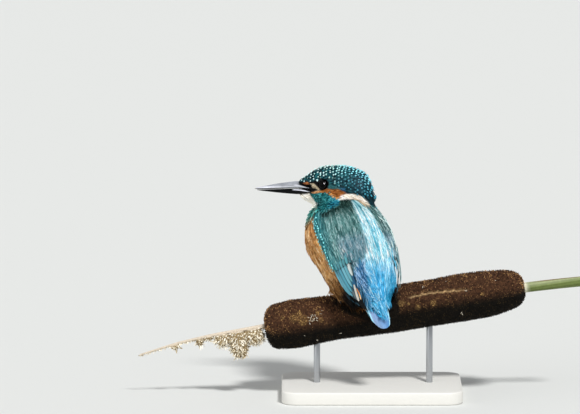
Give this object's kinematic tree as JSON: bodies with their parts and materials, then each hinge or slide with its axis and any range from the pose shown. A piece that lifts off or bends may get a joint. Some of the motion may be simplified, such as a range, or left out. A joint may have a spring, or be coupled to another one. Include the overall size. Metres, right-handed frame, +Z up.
{
  "type": "kingfisher on a bulrush seed head",
  "caption": "Life-size still young kingfisher perched on a bulrush seed head, back turned and head in profile, on a plain display stand.",
  "frame": {"origin": "centre of the stand base's underside", "axes": "+Z up, +X along the seed head towards its green stem, +Y the way the bird's breast faces"},
  "size_m": [0.2764, 0.0798, 0.1422],
  "materials": {
    "crown_plumage": "short barred feathers with a silky sheen",
    "neck_plumage": "soft pale feathers",
    "body_plumage": "loose silky feathers",
    "tail_feathers": "smooth vanes",
    "wing_plumage": "smooth layered vanes",
    "bill_horn": "polished horn",
    "eye": "wet gloss",
    "foot_red": "scaled skin",
    "claw_horn": "polished horn",
    "seed_head": "velvety plant fibre",
    "green_stem": "smooth plant stem",
    "dry_straw": "dry plant fibre and down",
    "stand_base": "satin paint",
    "stand_rod": "brushed"
  },
  "bodies": {
    "root": {"head": "crown_plumage", "neck": "neck_plumage", "trunk": "body_plumage", "tail": "tail_feathers", "wing_left": "wing_plumage", "wing_left_flight": "wing_plumage", "wing_right": "wing_plumage", "wing_right_flight": "wing_plumage", "bill_upper": "bill_horn", "bill_lower": "bill_horn", "eye_left": "eye", "eye_right": "eye", "leg_left": "foot_red", "foot_left": "foot_red", "claw_left_inner": "claw_horn", "claw_left_middle": "claw_horn", "claw_left_outer": "claw_horn", "claw_left_hind": "claw_horn", "leg_right": "foot_red", "foot_right": "foot_red", "claw_right_inner": "claw_horn", "claw_right_middle": "claw_horn", "claw_right_outer": "claw_horn", "claw_right_hind": "claw_horn", "perch_seed_head": "seed_head", "perch_stem": "green_stem", "perch_dry_tip": "dry_straw", "stand_base": "stand_base", "stand_rod_1": "stand_rod", "stand_rod_2": "stand_rod"}
  },
  "joints": []
}
